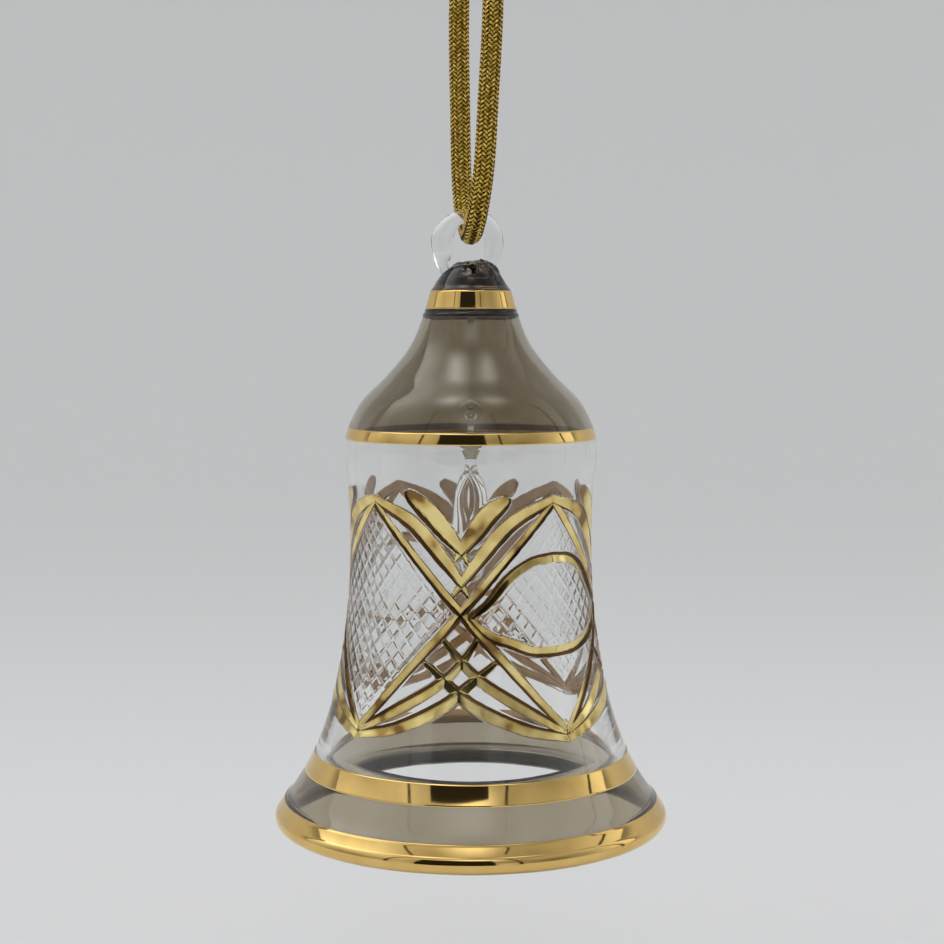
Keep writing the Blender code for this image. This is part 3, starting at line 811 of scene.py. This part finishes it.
def oval(top, bottom, half_width, across):
    """Centre line of an upright oval loop that lies along a level direction."""
    angle = 2 * np.pi * np.arange(OVAL_POINTS) / OVAL_POINTS
    side = half_width * np.cos(angle)
    z = (top + bottom) / 2 + (top - bottom) / 2 * np.sin(angle)
    return np.stack([side * across[0], side * across[1], z], 1)


def crown_eye(material):
    """A rod bent to a U, its two ends fused into the crown inside the bell."""
    bend_z = EYE_BOTTOM_Z + EYE_HALF_WIDTH
    angle = np.linspace(math.pi, 2 * math.pi, 24)
    bend = np.stack([0 * angle, EYE_HALF_WIDTH * np.cos(angle), bend_z + EYE_HALF_WIDTH * np.sin(angle)], 1)
    left = [[0.0, -EYE_HALF_WIDTH, z] for z in np.linspace(EYE_ROOT_Z, bend_z, 12)[:-1]]
    right = [[0.0, EYE_HALF_WIDTH, z] for z in np.linspace(bend_z, EYE_ROOT_Z, 12)[1:]]
    centres = np.vstack([left, bend, right])
    flare = np.clip((centres[:, 2] - EYE_ROOT_Z + EYE_FLARE_HEIGHT) / EYE_FLARE_HEIGHT, 0.0, 1.0) ** 2
    eye = tube("crown_eye_rod", centres, ROD * (1 + EYE_FLARE * flare), 20)
    dress(eye, material)
    place(eye, "crown_eye")


def clapper_link(material):
    """The small oval link between the eye and the clapper's loop."""
    link = tube("clapper_link_rod", oval(LINK_TOP_Z, LINK_BOTTOM_Z, EYE_HALF_WIDTH, (1, 0)),
                np.full(OVAL_POINTS, ROD), 20, closed=True)
    dress(link, material)
    place(link, "clapper_link", "link")


def clapper(material):
    """The loop at the top of the clapper, and the drop with its collar and slim neck."""
    loop = tube("clapper_loop_rod",
                oval(CLAPPER_LOOP_TOP_Z, CLAPPER_LOOP_BOTTOM_Z, EYE_HALF_WIDTH, (0, 1)),
                np.full(OVAL_POINTS, ROD), 20, closed=True)
    dress(loop, material)
    place(loop, "clapper_loop", "clapper")
    side = smooth_through([(r, z) for z, r in CLAPPER_STATIONS], 10)
    outline = np.vstack([[[0.0, CLAPPER_STATIONS[0][0] + 0.15]], side, [[0.0, CLAPPER_BOTTOM_Z]]])
    drop = revolve("clapper_drop_solid", outline, 96, closed=False)
    dress(drop, material)
    place(drop, "clapper_drop", "clapper")


# ---------------------------------------------------------------- cord

def even_line(points, step):
    """A line's points spaced evenly along it."""
    lengths = np.concatenate([[0.0], np.cumsum(np.linalg.norm(np.diff(points, axis=0), axis=1))])
    count = max(int(round(lengths[-1] / step)), 4)
    at = np.linspace(0.0, lengths[-1], count + 1)
    return np.stack([np.interp(at, lengths, points[:, k]) for k in range(3)], 1), at


def yarn(line, at, side, up, family, number, squeeze):
    """Points of one flat yarn, row by row. The family, 1 or -1, is the way it winds."""
    radius_mean = BRAID_RADIUS * squeeze
    turn = 1.0 / radius_mean
    around = 2 * math.pi * number / BRAID_STRANDS + family * turn * at
    crossing = BRAID_STRANDS * turn * at / math.pi
    phase = math.pi / 2 * (2 * number + family * crossing) + math.pi / 4
    radius = radius_mean + family * BRAID_WAVE * np.sin(phase)
    out = np.cos(around)[:, None] * side + np.sin(around)[:, None] * up
    centre = line + radius[:, None] * out
    heading = np.gradient(centre, axis=0)
    heading /= np.linalg.norm(heading, axis=1, keepdims=True)
    wide = np.cross(heading, out)
    wide /= np.linalg.norm(wide, axis=1, keepdims=True)
    high = np.cross(wide, heading)
    mean, swing = BRAID_CREST
    crest = (mean + swing * family * np.sin(phase))[:, None]
    ring = [centre + STRAND_HALF_WIDTH * squeeze * crest * math.cos(a) * wide
            + STRAND_HALF_THICKNESS * math.sin(a) * high
            for a in np.radians(STRAND_CORNERS)]
    return np.stack(ring, 1).reshape(-1, 3)


def rod_faces(start, rows, sides, inwards):
    """Quads and two end faces of a rod whose points start at an index, row by row. A rod whose
    corners run the other way round its line needs its faces turned."""
    faces = [[start + i for i in quad] for quad in lattice_faces(rows, sides, False, True)]
    faces.append([start + i for i in range(sides)])
    faces.append([start + (rows - 1) * sides + i for i in range(sides)][::-1])
    if inwards:
        faces = [face[::-1] for face in faces]
    return faces


def braid(name, route, thread, core_and_shade, squeeze=1.0):
    """A tubular braid along a route: two families of flat yarns that wind opposite ways and
    pass over two and under two, round a dark core. The yarns are bright on top, and their
    sides and ends take the core's dark colour as painted shade."""
    line, at = even_line(smooth_through(route, 24), BRAID_STEP)
    _, side, up = frames_along(line)
    rows, corners = len(line), len(STRAND_CORNERS)
    verts, faces, slot_of = [], [], []
    for family in (1.0, -1.0):
        for number in range(BRAID_STRANDS):
            faces += rod_faces(len(verts) * rows * corners, rows, corners, False)
            verts.append(yarn(line, at, side, up, family, number, squeeze))
            # the yarns' sides and ends get the core's dark brown: painted shade
            slot_of += [*STRAND_SLOTS] * (rows - 1) + [1, 1]
    core_faces = rod_faces(len(verts) * rows * corners, rows, CORE_SIDES, True)
    angle = 2 * np.pi * np.arange(CORE_SIDES) / CORE_SIDES
    around = np.cos(angle)[None, :, None] * side[:, None] + np.sin(angle)[None, :, None] * up[:, None]
    core_radius = BRAID_RADIUS * squeeze - CORE_SINK * BRAID_WAVE
    verts.append((line[:, None] + core_radius * around).reshape(-1, 3))
    faces += core_faces
    slot_of += [1] * len(core_faces)
    obj = mesh_object(name, np.vstack(verts), faces)
    dress(obj, thread, core_and_shade)
    obj.data.polygons.foreach_set("material_index", np.array(slot_of, dtype=np.int32))
    return obj, line


def knot_route():
    """An overhand knot drawn up tight, from the loop's foot to the tails."""
    t = np.linspace(KNOT_ENDS, 2 * math.pi - KNOT_ENDS, 40)
    across = np.sin(t) + 2 * np.sin(2 * t)
    up = np.cos(t) - 2 * np.cos(2 * t)
    deep = -2.0 * np.sin(3 * t)
    return KNOT_SIZE * np.stack([across, deep, up], 1) + np.array(KNOT_CENTRE)


def cord(thread, core_and_shade):
    """The loop through the ring, its knot and its two tails."""
    route = [*CORD_FRONT, (0.0, 0.0, BIGHT_Z), *CORD_BACK]
    loop, line = braid("hanging_cord_braid", route, thread, core_and_shade)
    place(loop, "hanging_cord", "hanger")
    knot, _ = braid("cord_knot_braid", knot_route(), thread, core_and_shade, squeeze=0.95)
    place(knot, "cord_knot", "hanger")
    for side, tail_route in (("right", TAIL_RIGHT), ("left", TAIL_LEFT)):
        tail, _ = braid(f"cord_tail_{side}_braid", tail_route, thread, core_and_shade)
        place(tail, f"cord_tail_{side}", "hanger")


# ---------------------------------------------------------------- studio

def camera():
    """At the photo's angle."""
    data = bpy.data.cameras.new("camera")
    data.sensor_width = SENSOR
    data.lens = LENS
    obj = bpy.data.objects.new("camera", data)
    obj.location = CAMERA_PLACE
    obj.rotation_euler = (math.radians(90.0 - CAMERA_DOWN), 0.0, 0.0)
    bpy.context.scene.collection.objects.link(obj)
    bpy.context.scene.camera = obj


def softbox(name, place_at, size, power, aim):
    """A soft lamp that lights the studio and doesn't show in the glass or the gilding."""
    data = bpy.data.lights.new(name, "AREA")
    data.shape = "RECTANGLE"
    data.size, data.size_y = size
    data.energy = power
    obj = bpy.data.objects.new(name, data)
    obj.location = place_at
    obj.rotation_euler = (Vector(aim) - Vector(place_at)).to_track_quat("-Z", "Y").to_euler()
    obj.visible_camera = False
    obj.visible_transmission = False
    obj.visible_glossy = False
    bpy.context.scene.collection.objects.link(obj)


def sweep():
    """Pale floor that rises into a plain background."""
    profile = [(SWEEP_FRONT, SWEEP_Z), (SWEEP_START, SWEEP_Z)]
    for step in range(1, 25):
        a = math.radians(90.0 * step / 24)
        profile.append((SWEEP_START + SWEEP_BEND * math.sin(a), SWEEP_Z + SWEEP_BEND * (1 - math.cos(a))))
    profile.append((SWEEP_START + SWEEP_BEND, SWEEP_Z + SWEEP_RISE))
    verts = [(x, y, z) for x in (-SWEEP_HALF_WIDTH, SWEEP_HALF_WIDTH) for y, z in profile]
    count = len(profile)
    faces = [[i, i + count, i + count + 1, i + 1] for i in range(count - 1)]
    obj = mesh_object("studio_floor", verts, faces)
    material, tree, shader = new_material("studio_floor")
    shader.inputs["Roughness"].default_value = 0.9
    place_node = tree.nodes.new("ShaderNodeTexCoord")
    split = tree.nodes.new("ShaderNodeSeparateXYZ")
    tree.links.new(place_node.outputs["Object"], split.inputs[0])
    share = tree.nodes.new("ShaderNodeMapRange")
    share.interpolation_type = "SMOOTHSTEP"
    share.inputs["From Min"].default_value, share.inputs["From Max"].default_value = FLOOR_END
    tree.links.new(split.outputs["Y"], share.inputs["Value"])
    near, far = FLOOR_SHADE, BACKDROP_SHADE
    shades = ((0.0, (near, near, near * 1.01)), (1.0, (far, far * 1.003, far * 1.01)))
    tree.links.new(ramp(tree, share.outputs["Result"], shades), shader.inputs["Base Color"])
    dress(obj, material)


def flag(name, corners, colour):
    """A dark card of the studio that only shows as a reflection."""
    obj = mesh_object(name, corners, [[0, 1, 2, 3]], smooth=False)
    dress(obj, plain(name, colour, 0.9))
    obj.visible_camera = False
    obj.visible_transmission = False
    obj.visible_diffuse = False
    obj.visible_shadow = False


def upright(azimuth_start, azimuth_end, distance, low, high):
    """Corners in mm of an upright card in front of the bell between two azimuths."""
    corners = []
    for azimuth, z in ((azimuth_start, low), (azimuth_end, low), (azimuth_end, high), (azimuth_start, high)):
        a = math.radians(azimuth)
        corners.append((distance * math.sin(a), -distance * math.cos(a), z))
    return corners


def calculate(tree, operation, first, second):
    """A sum, product, power or maximum of a socket and of a number or another socket."""
    node = tree.nodes.new("ShaderNodeMath")
    node.operation = operation
    tree.links.new(first, node.inputs[0])
    if isinstance(second, float):
        node.inputs[1].default_value = second
    else:
        tree.links.new(second, node.inputs[1])
    return node.outputs[0]


def glow(tree, direction, sharpness, strength):
    """One soft round light of the studio, as a lobe about a direction of the sky."""
    place_node = tree.nodes.new("ShaderNodeTexCoord")
    unit = tree.nodes.new("ShaderNodeVectorMath")
    unit.operation = "NORMALIZE"
    tree.links.new(place_node.outputs["Generated"], unit.inputs[0])
    dot = tree.nodes.new("ShaderNodeVectorMath")
    dot.operation = "DOT_PRODUCT"
    dot.inputs[1].default_value = direction
    tree.links.new(unit.outputs["Vector"], dot.inputs[0])
    positive = calculate(tree, "MAXIMUM", dot.outputs["Value"], 0.0)
    lobe = calculate(tree, "POWER", positive, sharpness)
    return calculate(tree, "MULTIPLY", lobe, strength)


def towards(azimuth, elevation):
    """Direction at an azimuth from the front, positive to the right, and a height above level."""
    a, e = math.radians(azimuth), math.radians(elevation)
    return math.sin(a) * math.cos(e), -math.cos(a) * math.cos(e), math.sin(e)


def sky():
    """The soft lights of the studio round the bell, a little uneven like a real room."""
    world = bpy.data.worlds.new("studio")
    world.use_nodes = True
    tree = world.node_tree
    total = None
    for azimuth, elevation, sharpness, strength in SKY_LIGHTS:
        lobe = glow(tree, towards(azimuth, elevation), sharpness, strength)
        total = calculate(tree, "ADD", lobe, SKY_BASE if total is None else total)
    direction = tree.nodes.new("ShaderNodeTexCoord")
    cloud = tree.nodes.new("ShaderNodeTexNoise")
    cloud.inputs["Scale"].default_value = 3.0
    tree.links.new(direction.outputs["Generated"], cloud.inputs["Vector"])
    total = calculate(tree, "MULTIPLY", total, spread(tree, cloud.outputs["Fac"], *SKY_UNEVEN))
    back = tree.nodes["Background"]
    back.inputs["Color"].default_value = (0.985, 0.995, 1.0, 1.0)
    tree.links.new(total, back.inputs["Strength"])
    bpy.context.scene.world = world


def studio():
    """Sky, floor, lamps and cards, and how far light is followed through the glass."""
    sky()
    sweep()
    softbox("floor_light", (0.0, 0.2, 1.5), (2.0, 1.6), 7.6, (0.0, 0.2, -0.2))
    softbox("backdrop_light", (0.0, -0.3, 1.4), (3.0, 0.8), 4.0, (0.0, 1.2, 0.5))
    for side in (-1.0, 1.0):
        softbox("side_light", (2.0 * side, 0.2, 1.0), (1.2, 1.2), 9.0, (1.6 * side, 1.2, 0.7))
    opening = upright(*OPENING_AZIMUTHS, OPENING_DISTANCE, CARD_LOW, OPENING_HIGH)
    flag("dark_opening", opening, (0.012, 0.010, 0.008))
    for n, azimuth in enumerate(SEAM_AZIMUTHS):
        sides = (azimuth - SEAM_HALF_WIDTH, azimuth + SEAM_HALF_WIDTH)
        seam = upright(*sides, SEAM_DISTANCE, CARD_LOW, SEAM_HIGH)
        flag(f"seam_{n}", seam, (0.05, 0.04, 0.03))
    scene = bpy.context.scene
    scene.cycles.max_bounces = 20
    scene.cycles.transmission_bounces = 20
    scene.cycles.glossy_bounces = 8
    scene.cycles.diffuse_bounces = 3
    scene.cycles.transparent_max_bounces = 16
    scene.view_settings.view_transform = "Standard"


# ---------------------------------------------------------------- the whole bell

def make_cord():
    """The cord in its two materials."""
    # Bright, middle and dark gold of the painted glints on the yarn
    thread = metallic_thread("gold_thread", (1.0, 0.77, 0.15), (0.78, 0.49, 0.06), (0.34, 0.18, 0.015))
    # The core's dark brown: the core's own colour, and painted shade on the yarns' sides
    core_and_shade = plain("cord_core_and_painted_shade", (0.080, 0.040, 0.006), 0.5)
    cord(thread, core_and_shade)


def make_glass():
    """Every piece of glass; returns the cut patterns of the four quarters."""
    smoked = glass("smoked_glass_blown", (0.465, 0.41, 0.30), (0.395, 0.34, 0.24))
    smoked_dome = glass("smoked_glass_dome", (0.465, 0.415, 0.31), (0.40, 0.35, 0.25))
    clear = glass("clear_glass_blown", (0.985, 0.99, 0.985), (0.96, 0.97, 0.965), wave=0.06)
    rod_glass = glass("clear_glass_rod", (0.98, 0.985, 0.98), (0.95, 0.96, 0.955), wave=0.25)
    dark = glass("dark_glass_crown", (0.16, 0.095, 0.05), (0.03, 0.018, 0.01), wave=0.5)
    patterns = [quarter_pattern(pattern_rows(), number) for number in range(1, 5)]
    waist_glass(patterns, clear)
    shoulder_glass(smoked_dome)
    skirt_glass(smoked)
    crown_knob(dark)
    neck_line(dark)
    hanging_ring(rod_glass)
    crown_eye(rod_glass)
    clapper_link(rod_glass)
    clapper(rod_glass)
    return patterns


def make_gilding(patterns):
    """Gilding in the cuts and on the bands, with the side towards the glass in bronze; on the rim that side
    has painted light above and painted shade below.
    """
    gold = gilding("gold_band", (0.88, 0.61, 0.22), (0.80, 0.53, 0.17), (0.03, 0.09))
    cut_gold = gilding("gold_in_cuts", (0.95, 0.78, 0.34), (0.66, 0.48, 0.16), (0.05, 0.22), 0.5,
                       worn=(0.24, 0.14, 0.045))
    # Dark brown for the thin edge, and painted shade for the cuts' steep sides
    edge_and_shade_gold = gilding("gold_thin_edge_and_painted_shade", (0.15, 0.08, 0.03), (0.06, 0.03, 0.012), (0.12, 0.3))
    back = gilding_back("gold_from_behind", (1.0, 0.60, 0.20), (0.84, 0.42, 0.10))
    # The rim's gilding from behind in two painted copies: a lighter one above, painted shade below
    rim_back_painted_light = gilding_back("rim_gold_back_painted_light", (0.72, 0.60, 0.46), (0.52, 0.42, 0.31))
    rim_back_painted_shade = gilding_back("rim_gold_back_painted_shade", (0.20, 0.15, 0.10), (0.10, 0.07, 0.045))
    for number, pattern in enumerate(patterns, 1):
        gilt_quarter(number, pattern, cut_gold, edge_and_shade_gold, back)
    band("neck_band_skin", wall(*NECK_BAND, 0.25), "neck_band", gold, back)
    band("shoulder_band_skin", wall(*SHOULDER_BAND, 0.25), "shoulder_band", gold, back)
    band("skirt_band_skin", wall(*SKIRT_BAND, 0.25), "skirt_band", gold, back)
    band("rim_band_skin", rim_outline(), "rim_band", gold, rim_back_painted_light, rim_back_painted_shade)


def main():
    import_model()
    camera()
    make_cord()
    make_gilding(make_glass())
    studio()


main()
